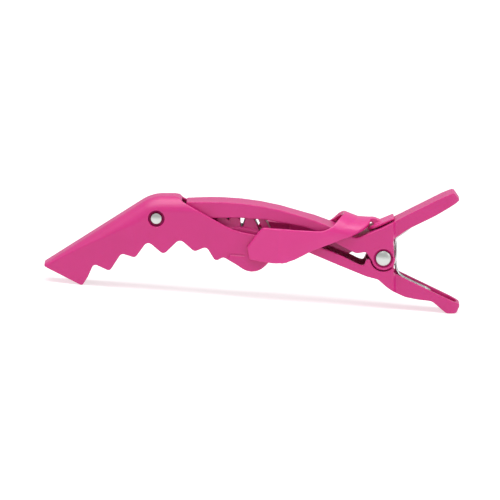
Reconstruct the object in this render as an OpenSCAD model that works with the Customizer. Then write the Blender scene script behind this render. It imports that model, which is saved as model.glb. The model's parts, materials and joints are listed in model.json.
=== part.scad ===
// Double-hinged sectioning clip for hair, in millimetres.
// +X runs from the nose to the handles, +Z is up, and the pins lie along Y.
// The outlines are side views in hinge coordinates: x and z from the hinge pin's centre,
// with the lever arms drawn level. The whole clip is then turned to stand on a table.

/* [Hinges] */
// Distance from the hinge pin to the front pin, along the clip
pin_span = 62.5; // [61:0.5:64]
// Height of the front pin above the hinge pin
pin_rise = 11; // [10.8:0.1:11.2]
// Radius of the hinge pin
hinge_pin_r = 2; // [1.8:0.05:2]
// Radius of the front pin
front_pin_r = 1.45; // [1.3:0.05:1.5]
// Radial clearance of a pin in the bore that turns on it
pin_clearance = 0.05; // [0.02:0.01:0.1]

/* [Widths] */
// Width of the snout across its two walls
snout_w = 14.5; // [14.4:0.1:14.8]
// Width of the upper lever's arm
arm_w = 11.5; // [11:0.1:11.6]
// Width across the hinge ears
hinge_w = 15; // [14.8:0.1:15.2]
// Width of the handles
handle_w = 11.6; // [11.4:0.1:11.8]
// Width of the lower jaw inside the snout
jaw_w = 9.6; // [8:0.1:10]
// Thickness of the moulded walls
wall = 1.3; // [1.1:0.05:1.4]

/* [Snout] */
// Radius of the snout's two upper edges
snout_edge_r = 4.4; // [3:0.1:4.6]
// Width of the nose at its tip
nose_w = 9.6; // [9:0.1:10.4]
// Radius of the nose's corners seen from above
nose_r = 1.8; // [1:0.1:2.4]

/* [Strap] */
// Thickness of the elastic strap
strap_t = 1.3; // [1.1:0.1:1.4]
// Radius of the pegs that hold the strap
peg_r = 1.6; // [1.2:0.1:1.8]

/* [Spring] */
// Diameter of the spring wire
wire_d = 0.8; // [0.7:0.05:0.9]
// Mean radius of the coils
coil_r = 3.4; // [3.2:0.05:3.4]
// Turns in each of the two coils
coil_turns = 3; // [2:1:3]

/* [Stance] */
// Angle that brings the nose and the lower handle onto one level
stance_tilt = 4.53; // [4.4:0.01:4.7]

/* [Hidden] */
pink = "#d9488f";
steel = "#c9cdd2";

arc_step = 12;
far = 40;
// Small step that keeps two flat faces from lying exactly in one plane
skin = 0.02;
front_pin_x = -pin_span;
front_pin_z = pin_rise;
snout_half = snout_w / 2;
channel_half = snout_half - wall;
arm_half = arm_w / 2;
hinge_half = hinge_w / 2;
handle_half = handle_w / 2;
jaw_half = jaw_w / 2;

// Stack across the hinge: outer ear, gap, inner cheek, spring
ear_t = 1.6;
ear_inner = hinge_half - ear_t;
cheek_gap = 0.15;
cheek_outer = ear_inner - cheek_gap;
cheek_inner = 4.25;
ear_r = 3.25;
ear_clearance = 0.4;
rear_recess_r = 2.6;
rear_recess_depth = 1.0;

// The knuckle of the arm turns inside the snout
knuckle_r = 3.9;
knuckle_half = 3.3;
front_recess_r = 2.25;
front_recess_depth = 1.9;
front_boss_r = 3.2;
front_boss_inner = 4.3;

// Where the standing clip touches the table, and the middle of its length
stance_drop = 14.087;
stance_shift = 35.434;

// ---- outlines: corners as [x, z, radius] ----

function unit(v) = v / norm(v);
function turn(a) = a > 180 ? a - 360 : a < -180 ? a + 360 : a;

// The arc that replaces corner q between its neighbours p and s
function corner(p, q, s) =
    let (
        a = [q[0], q[1]],
        u = unit([p[0], p[1]] - a),
        w = unit([s[0], s[1]] - a),
        half = acos(max(-1, min(1, u * w))) / 2,
        centre = a + unit(u + w) * q[2] / sin(half),
        from = a + u * q[2] / tan(half) - centre,
        to = a + w * q[2] / tan(half) - centre,
        start = atan2(from[1], from[0]),
        sweep = turn(atan2(to[1], to[0]) - start),
        n = max(1, ceil(abs(sweep) / arc_step))
    )
    [for (i = [0:n]) centre + q[2] * [cos(start + sweep * i / n), sin(start + sweep * i / n)]];

function rounded(pts) =
    let (n = len(pts))
    [for (i = [0:n - 1])
        each pts[i][2] == 0 ? [[pts[i][0], pts[i][1]]]
            : corner(pts[(i + n - 1) % n], pts[i], pts[(i + 1) % n])];

// A flat side view given thickness from y0 to y1
module plate(pts, y0, y1) {
    translate([0, y1, 0])
        rotate([90, 0, 0])
            linear_extrude(y1 - y0)
                polygon(rounded(pts));
}

module slab(pts, half) {
    plate(pts, -half, half);
}

module pair(pts, y0, y1) {
    plate(pts, y0, y1);
    plate(pts, -y1, -y0);
}

// A view from above, as corners [x, y, radius], made tall
module plan(pts) {
    translate([0, 0, -far])
        linear_extrude(2 * far)
            polygon(rounded(pts));
}

module across(x, z, r, half) {
    translate([x, half, z])
        rotate([90, 0, 0])
            cylinder(h = 2 * half, r = r, $fn = 64);
}

// Two round discs of radius r, one on each side, from y0 to y1
module across_pair(x, z, r, y0, y1) {
    for (side = [-1, 1]) {
        translate([0, side * (y0 + y1) / 2, 0])
            across(x, z, r, (y1 - y0) / 2);
    }
}

// Turns the drawn clip into its standing place
module stand() {
    translate([stance_shift, 0, stance_drop])
        rotate([0, -stance_tilt, 0])
            children();
}

// ---- snout ----

nose_x = -93.9;
nose_half = nose_w / 2;
taper_x = -72;
roof_end_x = -55.4;

// The roof rises from the nose and rounds over into a level crown
roof_angle = 32.4;
crown_r = 11;
crown_x = -60.5;
crown_z = 16.9;
roof_angles = [for (i = [0:6]) roof_angle * i / 6];
roof_corner_x = crown_x - crown_r * tan(roof_angle / 2);
nose_z = crown_z - (roof_corner_x - nose_x) * tan(roof_angle);

// Lower edge: front corner, then valleys and teeth in turn, back to the round lobe
snout_wave = [
    [-82.9, -7.75, 0.7], [-81.3, -5.2, 0.5],
    [-79.7, -1.6, 1.0], [-75.3, -3.6, 1.0],
    [-72.1, 1.35, 1.1], [-68.3, 0.15, 1.1],
    [-64.9, 4.8, 1.3], [-60.5, 1.05, 1.2],
    [-56.0, 5.4, 1.5], [-52.0, 1.85, 1.2],
    [-48.7, 3.25, 1.2], [-46.2, -0.85, 1.0],
    [-44.1, 0.35, 1.0], [-40.7, -1.6, 6], [-35.5, -5.15, 4.9]
];
snout_outline = concat(
    [[nose_x, nose_z, 0.5]],
    snout_wave,
    [[-31.3, -0.9, 1.5], [-30.2, 5.4, 2.5], [-41.3, 7.7, 14], [-55.2, 15.5, 0.4],
     [-56.0, 16.5, 0.8], [-58.0, crown_z + 0.1, 3], [roof_corner_x, crown_z + 0.1, 8]]
);

// Room inside, up to the underside of the roof
snout_room = [
    [-82.2, -far, 0], [-82.2, -6.0, 0.6], [-89.4, -2.6, 0.3], [-89.4, 1, 0],
    [-72, far, 0], [roof_end_x + 1, far, 0], [roof_end_x + 1, -far, 0]
];

// Behind the roof the two wings stand apart, seen from above
wing_gap_half = [
    [roof_end_x, 4.85, 0], [-53.5, 5.2, 0], [-49.5, channel_half - skin, 0],
    [-20, channel_half - skin, 0]
];

// Seen from above, the snout narrows towards the nose
function snout_plan(inset) = [
    [nose_x - skin, -nose_half + inset, nose_r],
    [taper_x, -snout_half - 3 * skin + inset, 80], [-20, -snout_half - 3 * skin + inset, 0],
    [-20, snout_half + 3 * skin - inset, 0], [taper_x, snout_half + 3 * skin - inset, 80],
    [nose_x - skin, nose_half - inset, nose_r]
];

// Cross-section of the roof with its upper edges rounded, top at y = 0
module roof_section(half, r) {
    polygon(rounded([[-half, 0, r], [half, 0, r], [half, -far, 0], [-half, -far, 0]]));
}

// A long bar with that section, touching the crown where the roof slopes by the angle
module roof_bar(angle, inset) {
    reach = crown_r - inset;
    translate([crown_x - reach * sin(angle), 0, crown_z - crown_r + reach * cos(angle)])
        rotate([0, -angle, 0])
            translate([-far * 2, 0, 0])
                rotate([90, 0, 90])
                    linear_extrude(far * 4)
                        roof_section(snout_half - inset + skin + angle * skin / 50, snout_edge_r - inset);
}

module under_roof(inset) {
    intersection_for(angle = roof_angles)
        roof_bar(angle, inset);
}

module snout() {
    color(pink)
    stand()
    difference() {
        union() {
            difference() {
                intersection() {
                    slab(snout_outline, snout_half);
                    under_roof(0);
                    plan(snout_plan(0));
                }
                intersection() {
                    slab(snout_room, channel_half);
                    under_roof(wall);
                    plan(snout_plan(wall));
                }
                plan(mirrored(wing_gap_half));
            }
            across_pair(front_pin_x, front_pin_z, front_boss_r, front_boss_inner, channel_half + 0.1);
        }
        across(front_pin_x, front_pin_z, front_pin_r + pin_clearance, snout_half + 1);
        across_pair(front_pin_x, front_pin_z, front_recess_r, snout_half - front_recess_depth, far);
        across(peg_x, peg_z, peg_r + pin_clearance, snout_half + 1);
        step_marks();
    }
}

// Shallow step moulded into each wing in front of the strap's pad
module step_marks() {
    step_line = [
        [-43.4, -0.3, 0], [-42.7, 1.5, 0], [-37.9, 1.1, 0],
        [-37.9, 0.5, 0], [-42.2, 0.9, 0], [-42.8, -0.3, 0]
    ];
    pair(step_line, snout_half - 0.35, snout_half + 1);
}

// ---- upper lever ----

upper_side = [
    [-67, 6.9, 0], [-57.6, 6.9, 1], [-52.0, 10.8, 4],
    [-36.5, 11.25, 40], [-20.6, 8.4, 12], [-9.0, 2.1, 1], [-7.4, 1.4, 1], [-4.8, 1.8, 0.7],
    [-3.2, -0.6, 0.2], [0, 0, 0], [3.1, -0.6, 0.2], [2.8, 5.1, 0.8],
    [7.0, 8.0, 6], [14.0, 11.4, 20], [21.15, 15.6, 0.4], [19.3, 18.0, 0.7],
    [16.2, 16.7, 8], [-0.5, 8.3, 10],
    [-7.4, 5.6, 2.5], [-13.6, 8.4, 3], [-23.5, 12.25, 60], [-36.4, 14.95, 40],
    [-45.5, 15.55, 40], [-54.5, 15.4, 0.6], [-53.2, 11.8, 0.6], [-57.0, 12.6, 0.8],
    [-58.9, 14.0, 0], [-67, 14.0, 0]
];

// Knuckle end: everything left of the neck stays inside the knuckle's circle
knuckle_clear = [
    [-75, -20, 0], [-59.5, -20, 0], [-59.5, 30, 0], [-75, 30, 0]
];

// Seen from above: slim knuckle, arm, wide hinge, slim handle with a rounded end
upper_plan_half = [
    [-70, knuckle_half, 0], [-57.4, knuckle_half, 1.5], [-55.5, 4.6, 1],
    [-49, arm_half, 20], [-24, arm_half, 25], [-12.5, hinge_half, 15],
    [2.6, hinge_half, 0.6], [3.4, handle_half, 0.5], [21.1, handle_half, 3.8]
];
function mirrored(pts) =
    concat(pts, [for (i = [len(pts) - 1:-1:0]) [pts[i][0], -pts[i][1], pts[i][2]]]);

// Underside hollow of the arm, between its two side walls
arm_room = [
    [-51.4, 2, 0], [-51.4, 11.9, 1], [-49.8, 13.6, 1.5], [-36.6, 13.5, 40],
    [-23.9, 10.7, 60], [-13.9, 6.8, 3], [-7.6, 4.0, 2], [-1.0, 6.7, 2],
    [5.0, 8.0, 0], [5.0, -far, 0], [-51.4, -far, 0]
];

// Hollow under the handle, inside its rim
pad_room = [
    [1.5, -10, 0], [1.5, 6.5, 0], [4.2, 8.75, 1], [16.0, 14.9, 6], [18.4, 15.7, 0.8],
    [19.6, 13.6, 0], [25, 0, 0], [25, -10, 0]
];
pad_room_plan_half = [
    [-1, handle_half - 1.4, 0], [19.7, handle_half - 1.4, 3]
];

module upper_lever() {
    color(pink)
    stand()
    difference() {
        union() {
            difference() {
                intersection() {
                    slab(upper_side, handle_half + 3);
                    plan(mirrored(upper_plan_half));
                }
                difference() {
                    slab(knuckle_clear, far);
                    across(front_pin_x, front_pin_z, knuckle_r, far);
                }
                slab(arm_room, arm_half - wall);
                slab(ear_room, ear_inner);
                intersection() {
                    slab(pad_room, far);
                    plan(mirrored(pad_room_plan_half));
                }
            }
            pair(ear_end, ear_inner, hinge_half);
            slab(web_side, web_half);
        }
        across(front_pin_x, front_pin_z, front_pin_r + 0.02, far);
        across(0, 0, hinge_pin_r + pin_clearance, far);
        across_pair(0, 0, rear_recess_r, hinge_half - rear_recess_depth, hinge_half + 1);
        translate([stem_x, 0, stem_foot - 1])
            cylinder(h = 6, r = stem_r + pin_clearance, $fn = 48);
    }
}

// Everything between the ears below the deck is open for the cheeks and the spring
ear_room = [
    [-17, -far, 0], [-17, 5.0, 0], [-13.9, 6.5, 1], [-7.6, 3.8, 1], [-1.0, 6.6, 1],
    [2.1, 8.0, 0], [2.1, 4.3, 0], [3.8, 3.2, 0], [3.8, -far, 0]
];

// Round lower end of each ear
ear_end = [for (a = [180:12:360]) [ear_r * cos(a), ear_r * sin(a), 0]];

// Cross web that hangs between the rails of the lower lever in front of the spring
web_side = [
    [-17.0, 8.5, 0], [-16.4, 3.7, 0.8], [-9.6, 0.9, 0.6], [-8.3, 1.6, 0.4], [-7.9, 4.9, 0]
];
web_half = 4;

// ---- lower lever ----

lower_arm_side = [
    [-45.0, 8.2, 1.5], [-38.6, 8.4, 6], [-34.5, 7.2, 10], [-16.8, 2.9, 30], [-12.0, 1.0, 20],
    [-6.9, -1.6, 1], [-5.4, -2.05, 0.6], [-4.7, -0.3, 0.4], [-3.2, -0.2, 0], [2.8, -3.1, 0],
    [2.9, -4.35, 0.5], [21.3, -13.25, 0.7], [20.1, -15.55, 0.7], [17.4, -15.55, 1.6],
    [13.4, -12.1, 2.5], [9.2, -11.6, 8], [6.0, -10.95, 5], [3.4, -9.75, 3], [0.9, -8.0, 2],
    [-1.5, -5.85, 2], [-4.6, -5.05, 3], [-21, 1.7, 10], [-34, 5.2, 10], [-45, 5.6, 0]
];

// Jaw inside the snout: a thin spine that carries the comb teeth
jaw_side = [
    [-81.2, -2.4, 0.5], [-80.6, -0.9, 0.5], [-70.5, 3.8, 4], [-64.0, 6.6, 3], [-58.0, 6.3, 3],
    [-52, 7.9, 4], [-41, 8.0, 0], [-41, 6.1, 0], [-52, 5.8, 4], [-57.5, 4.9, 3],
    [-64.5, 4.7, 3], [-71.0, 2.0, 3], [-78.9, -1.5, 2]
];
// Large teeth that reach up between the side walls of the arm, leaning forwards
comb_half = 4.15;
comb_teeth = [
    [[-46.2, 7.4, 0], [-41.7, 7.4, 0], [-42.9, 10.6, 0.4], [-44.0, 11.7, 0.4], [-45.8, 11.2, 0.4]],
    [[-43.0, 7.4, 0], [-39.3, 7.6, 0], [-39.3, 10.4, 0.4], [-40.6, 11.6, 0.4], [-42.4, 10.9, 0.4]],
    [[-38.9, 7.6, 0], [-34.0, 6.6, 0], [-34.5, 8.3, 0.3], [-35.7, 11.0, 0.3], [-36.6, 11.6, 0.3],
     [-37.9, 10.9, 0.3]],
    [[-33.2, 6.6, 0], [-30.0, 5.4, 0], [-32.6, 10.6, 0.4], [-34.9, 11.3, 0.3], [-33.6, 8.6, 0.3]]
];

// Small teeth further forward
module tooth(x, z, h) {
    slab([
        [x - 1.5, z - 0.6, 0], [x + 1.5, z - 0.6, 0], [x + 0.7, z + h, 0.5], [x - 0.7, z + h, 0.5]
    ], jaw_half - 0.05);
}

lower_plan_half = [
    [-82, jaw_half - 1.2, 0], [-80.6, jaw_half, 2], [-30, jaw_half, 25], [-14, hinge_half - 0.1, 15],
    [2.7, hinge_half - 0.1, 0.6], [3.5, handle_half, 0.5], [21.4, handle_half, 3.8]
];

// Channel between the rails of the arm, open upwards
lower_arm_room = [
    [-30, 12, 0], [-30, 5.5, 1], [-17, 1.4, 8], [-5.6, -3.5, 3], [-0.6, -5.0, 2], [2.2, -7.2, 2],
    [6.1, -9.5, 5], [9.2, -10.2, 8], [13.2, -10.7, 2], [17.6, -14.0, 0.8], [20.4, -14.0, 0],
    [20.4, 12, 0]
];

module lower_lever() {
    color(pink)
    stand()
    difference() {
        union() {
            intersection() {
                union() {
                    difference() {
                        slab(lower_arm_side, far);
                        intersection() {
                            slab(lower_arm_room, far);
                            plan(mirrored(lower_room_plan_half));
                        }
                        difference() {
                            across(0, 0, ear_r + ear_clearance, far);
                            across(0, 0, ear_r + ear_clearance + 1, cheek_outer + skin);
                        }
                    }
                    slab(jaw_side, handle_half);
                }
                plan(mirrored(lower_plan_half));
            }
            pair(cheek, cheek_inner, cheek_outer);
            comb();
        }
        across(0, 0, hinge_pin_r + 0.02, far);
    }
}

lower_room_plan_half = [
    [-31, 1.5, 0], [-24, 3.2, 4], [-14, hinge_half - 1.7, 10], [-4.8, hinge_half - 1.7, 0],
    [-4.8, cheek_inner - skin, 0], [6, cheek_inner - skin, 0], [20.0, handle_half - 1.4, 2.8]
];

// Inner cheek round the hinge pin
cheek_r = 3.05;
cheek = concat(
    [for (a = [0:12:180]) [cheek_r * cos(a), cheek_r * sin(a), 0]],
    [[-4.2, -3.6, 0], [-1.8, -5.5, 0], [2.75, -4.9, 0]]
);

module comb() {
    for (outline = comb_teeth)
        slab(outline, comb_half);
    for (i = [0:3])
        tooth(-70.5 - i * 2.6, 3.4 - i * 1.15, 1.8);
}

// ---- pins ----

module pin_body(x, z, r, half, dome) {
    translate([x, 0, z])
        rotate([90, 0, 0])
            rotate_extrude($fn = 64)
                polygon(pin_profile(r, half, dome));
}

// Half profile of a pin with shallow domed ends
function pin_profile(r, half, dome) =
    let (
        dome_r = (r * r + dome * dome) / (2 * dome),
        reach = asin(r / dome_r),
        cap = [for (i = [0:6]) dome_r * [sin(reach * i / 6), cos(reach * i / 6) - 1] + [0, half]]
    )
    concat(cap, [for (i = [6:-1:0]) [cap[i][0], -cap[i][1]]]);

module hinge_pin() {
    color(steel)
    stand()
    pin_body(0, 0, hinge_pin_r, hinge_half + 0.1, 0.5);
}

module front_pin() {
    color(steel)
    stand()
    pin_body(front_pin_x, front_pin_z, front_pin_r, snout_half - 0.15, 0.3);
}

// ---- spring ----

wire_r = wire_d / 2;
coil_outer_y = cheek_inner - 0.08 - wire_r;
coil_inner_y = 0.72;
coil_steps = 20;

// Half of the spring: from the middle of the lower loop to the end of one upper leg
loop_end = [12.7, -9.7];
loop_half = 1.2;
function half_spring() =
    let (
        loop = [for (a = [0:30:90])
            [loop_end[0] + (cos(a) - 1) * loop_half, loop_half * sin(a),
             loop_end[1] - (cos(a) - 1) * loop_half * 0.5]],
        down = [
            [8.0, 1.1, -7.5], [5.4, 0.95, -6.15], [4.3, 0.85, -5.2], [3.7, 0.78, -4.1],
            [coil_r + 0.05, 0.76, -2.6], [coil_r, coil_inner_y, -1.2]
        ],
        n = coil_turns * coil_steps,
        coil = [for (i = [0:n])
            [coil_r * cos(360 * i / coil_steps),
             coil_inner_y + (coil_outer_y - coil_inner_y) * i / n,
             coil_r * sin(360 * i / coil_steps)]],
        up = [
            [coil_r + 0.15, coil_outer_y, 1.2], [coil_r + 0.1, coil_outer_y, 2.6],
            [coil_r - 0.1, coil_outer_y, 4.2], [coil_r - 0.1, coil_outer_y, 4.9],
            [coil_r + 0.2, coil_outer_y, 5.5], [coil_r + 0.9, coil_outer_y, 6.0],
            [6.2, coil_outer_y, 7.3], [11.8, coil_outer_y, 11.9]
        ]
    )
    concat(loop, down, coil, up);

function wire_path() =
    let (h = half_spring(), n = len(h))
    concat([for (i = [n - 1:-1:1]) [h[i][0], -h[i][1], h[i][2]]], h);

// A tube of round wire along a path, with its ends closed
module tube(path, r, sides) {
    n = len(path);
    function along(i) = unit(path[min(n - 1, i + 1)] - path[max(0, i - 1)]);
    function side_of(i) = unit(cross(along(i), [0.02, 1, 0.01]));
    function ring(i) =
        let (t = along(i), a = side_of(i), b = cross(t, a))
        [for (k = [0:sides - 1]) path[i] + r * (cos(360 * k / sides) * a + sin(360 * k / sides) * b)];
    points = [for (i = [0:n - 1]) each ring(i)];
    faces = concat(
        [for (i = [0:n - 2], k = [0:sides - 1]) each [
            [i * sides + k, (i + 1) * sides + k, i * sides + (k + 1) % sides],
            [i * sides + (k + 1) % sides, (i + 1) * sides + k, (i + 1) * sides + (k + 1) % sides]]],
        [[for (k = [0:sides - 1]) k]],
        [[for (k = [sides - 1:-1:0]) (n - 1) * sides + k]]
    );
    polyhedron(points, faces);
}

module torsion_spring() {
    color(steel)
    stand()
    tube(wire_path(), wire_r, 8);
}

// ---- strap ----

peg_x = -33.0;
peg_z = 2.8;

pad_outline = [
    [-37.5, 3.2, 0.4], [-36.9, -0.2, 0.9], [-30.2, -1.2, 6], [-26.5, -1.0, 0],
    [-25.6, 8.1, 0], [-33.4, 8.7, 1.6]
];

// Seen from above, the pad thickens towards a soft crease where the strap leaves it
pad_plan_half = [
    [-38, snout_half + 1.0, 0], [-28.9, snout_half + 2.2, 1.6], [-25.4, snout_half + 2.0, 0]
];

// Outer face of the strap from the pad to the middle of the arm: right edge, middle, left edge
strap_right = [
    [-28.0, -9.4, -1.25], [-24.5, -9.3, -0.2], [-20.4, -9.3, 1.9], [-16.7, -9.35, 3.4],
    [-13.1, -9.35, 4.8], [-9.2, -9.25, 6.4], [-6.6, -8.5, 7.9], [-4.7, -6.8, 9.0],
    [-3.7, -4.8, 9.85], [-3.4, -2.4, 10.4], [-3.3, 0, 10.6]
];
strap_middle = [
    [-28.0, -9.4, 3.6], [-24.5, -9.35, 3.95], [-20.4, -9.4, 4.9], [-17.0, -9.5, 5.6],
    [-14.2, -9.5, 6.7], [-11.6, -9.2, 8.0], [-9.6, -7.9, 9.2], [-8.2, -5.7, 10.1],
    [-7.3, -3.6, 10.5], [-6.9, -1.8, 10.7], [-6.8, 0, 10.75]
];
strap_left = [
    [-28.0, -9.35, 8.35], [-24.5, -9.3, 8.05], [-20.4, -9.35, 7.85], [-17.2, -9.45, 7.7],
    [-15.3, -9.35, 8.3], [-13.7, -8.7, 9.4], [-12.4, -7.2, 10.8], [-11.4, -5.0, 11.7],
    [-10.9, -3.2, 12.05], [-10.7, -1.6, 12.2], [-10.6, 0, 12.25]
];
strap_steps = 2;

// Smooth curve through points, with a few steps between each two
function smooth(p, steps) =
    let (n = len(p))
    concat(
        [for (i = [0:n - 2], k = [0:steps - 1])
            let (t = k / steps, a = p[max(0, i - 1)], b = p[i], c = p[i + 1], d = p[min(n - 1, i + 2)])
            0.5 * (2 * b + (c - a) * t + (2 * a - 5 * b + 4 * c - d) * t * t
                + (3 * b - a - 3 * c + d) * t * t * t)],
        [p[n - 1]]
    );

function flip_y(p) = [p[0], -p[1], p[2]];
function whole(p) = concat(p, [for (i = [len(p) - 2:-1:0]) flip_y(p[i])]);

module band() {
    right = smooth(whole(strap_right), strap_steps);
    middle = smooth(whole(strap_middle), strap_steps);
    left = smooth(whole(strap_left), strap_steps);
    n = len(right);
    function inward(i) =
        strap_t * unit(cross(left[i] - right[i], middle[min(n - 1, i + 1)] - middle[max(0, i - 1)]));
    points = [for (i = [0:n - 1]) each [
        right[i], middle[i], left[i], left[i] + inward(i), middle[i] + inward(i), right[i] + inward(i)]];
    faces = concat(
        [for (i = [0:n - 2], k = [0:5]) each [
            [i * 6 + k, i * 6 + (k + 1) % 6, (i + 1) * 6 + k],
            [i * 6 + (k + 1) % 6, (i + 1) * 6 + (k + 1) % 6, (i + 1) * 6 + k]]],
        [for (k = [1:4]) [0, k + 1, k]],
        [for (k = [1:4]) [(n - 1) * 6, (n - 1) * 6 + k, (n - 1) * 6 + k + 1]]
    );
    polyhedron(points, faces);
}

// Tongue that lies just above the deck behind the strap, and the short neck that joins them
tongue_side = [
    [-4.7, 7.1, 0.3], [-0.5, 8.7, 10], [3.1, 10.5, 0.2], [2.8, 11.0, 0.25],
    [-0.5, 9.65, 10], [-4.3, 8.0, 0.4]
];
tongue_plan = [
    [-4.8, -5, 3.6], [3.4, -5, 0.6], [3.4, 5, 0.6], [-4.8, 5, 3.6]
];
neck_side = [
    [-5.4, 9.7, 0], [-5.0, 10.35, 0], [-3.2, 10.55, 0.5], [-2.3, 10.45, 0.8], [-1.1, 9.95, 0.6],
    [0.2, 9.6, 0], [0.2, 9.3, 0], [-2.2, 8.5, 0.4], [-3.3, 9.5, 0.4]
];
neck_half = 2;

// Peg under the tongue
stem_x = -0.8;
stem_r = 1.3;
stem_foot = 7.0;

module elastic_strap() {
    color("#e0559a")
    stand() {
        band();
        intersection() {
            pair(pad_outline, snout_half, snout_half + 4);
            plan(mirrored(pad_plan_half));
        }
        across_pair(peg_x, peg_z, peg_r, channel_half, snout_half + 0.1);
        intersection() {
            slab(tongue_side, 6);
            plan(tongue_plan);
        }
        slab(neck_side, neck_half);
        translate([stem_x, 0, stem_foot])
            cylinder(h = 9 - stem_foot, r = stem_r, $fn = 48);
    }
}

lower_lever();
upper_lever();
snout();
hinge_pin();
front_pin();
torsion_spring();
elastic_strap();
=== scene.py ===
"""Looks of a double-hinged sectioning hair clip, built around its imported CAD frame."""

import json
import math

import bpy
from mathutils import Matrix, Vector


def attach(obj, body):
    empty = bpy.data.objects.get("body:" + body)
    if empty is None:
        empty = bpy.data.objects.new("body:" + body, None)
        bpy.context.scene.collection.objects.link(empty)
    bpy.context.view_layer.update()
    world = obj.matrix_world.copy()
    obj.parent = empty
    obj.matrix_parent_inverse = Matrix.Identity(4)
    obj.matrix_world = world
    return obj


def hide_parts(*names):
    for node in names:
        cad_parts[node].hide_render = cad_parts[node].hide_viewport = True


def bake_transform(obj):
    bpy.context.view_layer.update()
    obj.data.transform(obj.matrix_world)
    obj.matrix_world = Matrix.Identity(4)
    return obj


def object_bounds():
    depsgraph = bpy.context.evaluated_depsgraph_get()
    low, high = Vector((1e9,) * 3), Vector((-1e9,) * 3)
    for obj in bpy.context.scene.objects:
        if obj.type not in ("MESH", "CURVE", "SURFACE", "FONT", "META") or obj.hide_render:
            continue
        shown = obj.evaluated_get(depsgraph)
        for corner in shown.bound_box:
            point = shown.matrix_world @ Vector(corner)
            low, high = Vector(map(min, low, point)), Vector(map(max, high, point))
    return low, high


MM = 0.001

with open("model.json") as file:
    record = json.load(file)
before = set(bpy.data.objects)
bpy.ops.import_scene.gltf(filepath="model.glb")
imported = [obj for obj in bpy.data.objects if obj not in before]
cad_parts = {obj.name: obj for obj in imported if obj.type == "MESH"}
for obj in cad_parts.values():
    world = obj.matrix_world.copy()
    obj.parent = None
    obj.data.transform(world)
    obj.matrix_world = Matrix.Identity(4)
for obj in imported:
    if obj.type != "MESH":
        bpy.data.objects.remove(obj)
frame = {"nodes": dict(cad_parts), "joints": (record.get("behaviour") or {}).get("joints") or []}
cad_low, cad_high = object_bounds()

JOINTS = {joint["name"]: joint for joint in frame["joints"]}
HINGE = Vector(JOINTS["main_hinge"]["pos_m"])
FRONT = Vector(JOINTS["snout_pivot"]["pos_m"])


# ---- places: mm from the hinge pin, with the clip turned as in the photograph ----

# As photographed, the line from the hinge pin to the front pin rises 11 mm in 62.5 mm
PIN_LINE_RISE = 11
PIN_LINE_RUN = 62.5


def standing_turn():
    """How far the standing clip is turned from its attitude in the photograph, in radians."""
    standing = math.atan2(FRONT.z - HINGE.z, HINGE.x - FRONT.x)
    return standing - math.atan2(PIN_LINE_RISE, PIN_LINE_RUN)


TURN = Matrix.Rotation(standing_turn(), 3, "Y")


def at(x, y, z):
    """A point given in mm from the hinge pin, in the row frame."""
    return HINGE + TURN @ (Vector((x, y, z)) * MM)


# ---- shader helpers ----

def new_material(name):
    material = bpy.data.materials.new(name)
    material.use_nodes = True
    tree = material.node_tree
    return material, tree, tree.nodes["Principled BSDF"]


def set_inputs(node, values):
    for name, value in values.items():
        node.inputs[name].default_value = value


def noise(tree, scale, detail, roughness):
    """Noise over the object's own coordinates, which are in metres."""
    coords = tree.nodes.new("ShaderNodeTexCoord")
    node = tree.nodes.new("ShaderNodeTexNoise")
    set_inputs(node, {"Scale": scale, "Detail": detail, "Roughness": roughness})
    tree.links.new(coords.outputs["Object"], node.inputs["Vector"])
    return node.outputs["Fac"]


def colour_between(tree, shader, height, low_stop, high_stop):
    """The base colour runs between two (position, colour) stops of a noise."""
    node = tree.nodes.new("ShaderNodeValToRGB")
    for element, (position, colour) in zip(node.color_ramp.elements, (low_stop, high_stop)):
        element.position = position
        element.color = (*colour, 1)
    tree.links.new(height, node.inputs["Fac"])
    tree.links.new(node.outputs["Color"], shader.inputs["Base Color"])


def roughness_between(tree, shader, height, lowest, highest):
    node = tree.nodes.new("ShaderNodeMapRange")
    set_inputs(node, {"To Min": lowest, "To Max": highest})
    tree.links.new(height, node.inputs["Value"])
    tree.links.new(node.outputs["Result"], shader.inputs["Roughness"])


def bump(tree, shader, height, strength, distance):
    node = tree.nodes.new("ShaderNodeBump")
    set_inputs(node, {"Strength": strength, "Distance": distance})
    tree.links.new(height, node.inputs["Height"])
    tree.links.new(node.outputs["Normal"], shader.inputs["Normal"])


# ---- materials ----

# Scales of the noises: soft flow marks of about 11 mm, and grain finer than 0.5 mm
FLOW_SCALE = 90
GRAIN_SCALE = 5200
STREAK_SCALE = 2600

SATIN_PLASTIC = {
    "IOR": 1.49,
    "Specular IOR Level": 0.6,
    "Subsurface Weight": 0.15,
    "Subsurface Radius": (1.0, 0.18, 0.35),
    "Subsurface Scale": 0.0012,
}


def plastic(name, base, deep, roughness):
    """Satin moulded plastic: slightly translucent, with a fine grain and soft flow marks."""
    material, tree, shader = new_material(name)
    flow = noise(tree, FLOW_SCALE, 3, 0.6)
    colour_between(tree, shader, flow, (0.3, deep), (0.7, base))
    grain = noise(tree, GRAIN_SCALE, 2, 0.6)
    roughness_between(tree, shader, grain, roughness - 0.05, roughness + 0.07)
    set_inputs(shader, SATIN_PLASTIC)
    bump(tree, shader, grain, 0.25, 0.00003)
    return material


def metal(name, base, roughness):
    """Bright metal with fine streaks."""
    material, tree, shader = new_material(name)
    set_inputs(shader, {"Base Color": (*base, 1), "Metallic": 1.0})
    streak = noise(tree, STREAK_SCALE, 3, 0.7)
    roughness_between(tree, shader, streak, roughness - 0.06, roughness + 0.1)
    bump(tree, shader, streak, 0.15, 0.00002)
    return material


PINK = plastic("pink_plastic", (0.54, 0.012, 0.18), (0.505, 0.010, 0.165), 0.4)
PINK_SOFT = plastic("pink_elastic", (0.60, 0.018, 0.21), (0.57, 0.015, 0.195), 0.36)
PIN_METAL = metal("pin_metal", (0.58, 0.60, 0.58), 0.3)
WIRE_METAL = metal("wire_metal", (0.55, 0.57, 0.56), 0.25)


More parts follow.
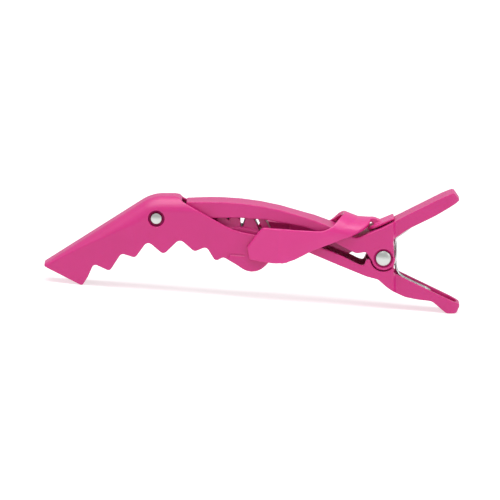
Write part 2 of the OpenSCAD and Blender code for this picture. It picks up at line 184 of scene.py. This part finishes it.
# ---- pieces ----

# Voxel sizes are in metres
MOULDED_VOXEL = 0.00018
WIRE_VOXEL = 0.00012
KEPT_FACES = 0.5

# Smoothing rounds: the more there are, the softer the edges
MOULDING_ROUNDS = 6
STRAP_ROUNDS = 8
WIRE_ROUNDS = 3


def apply_modifier(obj, modifier):
    """The object's mesh takes in its modifier."""
    graph = bpy.context.evaluated_depsgraph_get()
    mesh = bpy.data.meshes.new_from_object(obj.evaluated_get(graph))
    obj.modifiers.remove(modifier)
    obj.data = mesh


def shade_smooth(mesh):
    mesh.polygons.foreach_set("use_smooth", [True] * len(mesh.polygons))


def softened(node, name, voxel, rounds):
    """A copy of a CAD node with every edge softly rounded."""
    obj = bpy.data.objects.new(name, frame["nodes"][node].data.copy())
    bpy.context.scene.collection.objects.link(obj)

    remesh = obj.modifiers.new("remesh", "REMESH")
    remesh.mode = "VOXEL"
    remesh.voxel_size = voxel
    apply_modifier(obj, remesh)

    smooth = obj.modifiers.new("smooth", "SMOOTH")
    smooth.factor = 0.5
    smooth.iterations = rounds
    apply_modifier(obj, smooth)

    thin = obj.modifiers.new("thin", "DECIMATE")
    thin.ratio = KEPT_FACES
    apply_modifier(obj, thin)

    shade_smooth(obj.data)
    return obj


def set_material(mesh, material):
    mesh.materials.clear()
    mesh.materials.append(material)


def dress(obj, material):
    set_material(obj.data, material)


def moulding(node, body):
    obj = softened(node, node + "_moulding", MOULDED_VOXEL, MOULDING_ROUNDS)
    dress(obj, PINK)
    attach(obj, body)
    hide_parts(node)


moulding("lower_lever", "lower_lever")
moulding("upper_lever", "upper_lever")
moulding("snout", "snout")

strap = softened("elastic_strap", "strap_band", MOULDED_VOXEL, STRAP_ROUNDS)
dress(strap, PINK_SOFT)
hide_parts("elastic_strap")
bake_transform(strap)

spring = softened("torsion_spring", "spring_wire", WIRE_VOXEL, WIRE_ROUNDS)
dress(spring, WIRE_METAL)
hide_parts("torsion_spring")
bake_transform(spring)

for pin in ("hinge_pin", "front_pin"):
    pin_mesh = frame["nodes"][pin].data
    set_material(pin_mesh, PIN_METAL)
    shade_smooth(pin_mesh)


# ---- floor, light and camera ----

FLOOR_REACH = 6.0

# A grey floor with a slight glow comes out as white as the photograph's ground
FLOOR_LOOK = {
    "Base Color": (0.45, 0.45, 0.45, 1),
    "Roughness": 0.9,
    "Specular IOR Level": 0.0,
    "Emission Color": (1, 1, 1, 1),
    "Emission Strength": 0.66,
}
WORLD_STRENGTH = 0.6


def make_floor():
    mesh = bpy.data.meshes.new("floor")
    reach = FLOOR_REACH
    corners = [(-reach, -reach, 0), (reach, -reach, 0), (reach, reach, 0), (-reach, reach, 0)]
    mesh.from_pydata(corners, [], [(0, 1, 2, 3)])
    floor = bpy.data.objects.new("floor", mesh)
    bpy.context.scene.collection.objects.link(floor)
    material, _, shader = new_material("pale_floor")
    set_inputs(shader, FLOOR_LOOK)
    floor.data.materials.append(material)


def make_light(name, offset, size, power):
    """A round soft light, placed from the clip's centre and turned to it."""
    target = (cad_low + cad_high) / 2
    data = bpy.data.lights.new(name, "AREA")
    data.shape = "DISK"
    data.size = size
    data.energy = power
    light = bpy.data.objects.new(name, data)
    light.location = target + Vector(offset)
    light.rotation_mode = "QUATERNION"
    light.rotation_quaternion = (target - light.location).to_track_quat("-Z", "Y")
    bpy.context.scene.collection.objects.link(light)


def make_world():
    world = bpy.data.worlds.new("studio")
    world.use_nodes = True
    background = world.node_tree.nodes["Background"]
    set_inputs(background, {"Color": (1, 1, 1, 1), "Strength": WORLD_STRENGTH})
    bpy.context.scene.world = world


# The photograph looks slightly down on the clip, through a long lens; lengths in mm
ELEVATION = math.radians(7.5)
VIEW_WIDTH = 137.5
CAMERA_DISTANCE = 3000
SENSOR_WIDTH = 36
VIEW_CENTRE = (-36.7, -7.5, 2.4)


def make_camera():
    """A long lens at the photograph's angle, turned so that the clip lies as it does there."""
    data = bpy.data.cameras.new("camera")
    data.sensor_width = SENSOR_WIDTH
    data.lens = SENSOR_WIDTH * CAMERA_DISTANCE / VIEW_WIDTH
    data.clip_start = 0.01
    data.clip_end = 20
    camera = bpy.data.objects.new("camera", data)
    away = TURN @ Vector((0, math.cos(ELEVATION), -math.sin(ELEVATION)))
    up = TURN @ Vector((0, math.sin(ELEVATION), math.cos(ELEVATION)))
    right = TURN @ Vector((1, 0, 0))
    place = at(*VIEW_CENTRE) - away * CAMERA_DISTANCE * MM
    rotation = Matrix((right, up, -away)).transposed().to_4x4()
    camera.matrix_world = Matrix.Translation(place) @ rotation
    bpy.context.scene.collection.objects.link(camera)
    bpy.context.scene.camera = camera


make_floor()
make_world()
make_light("key", (-0.1, -0.15, 0.9), 1.0, 9)
make_light("fill", (0.55, -0.3, 0.35), 0.4, 1.0)
bpy.context.scene.view_settings.view_transform = "Standard"
make_camera()
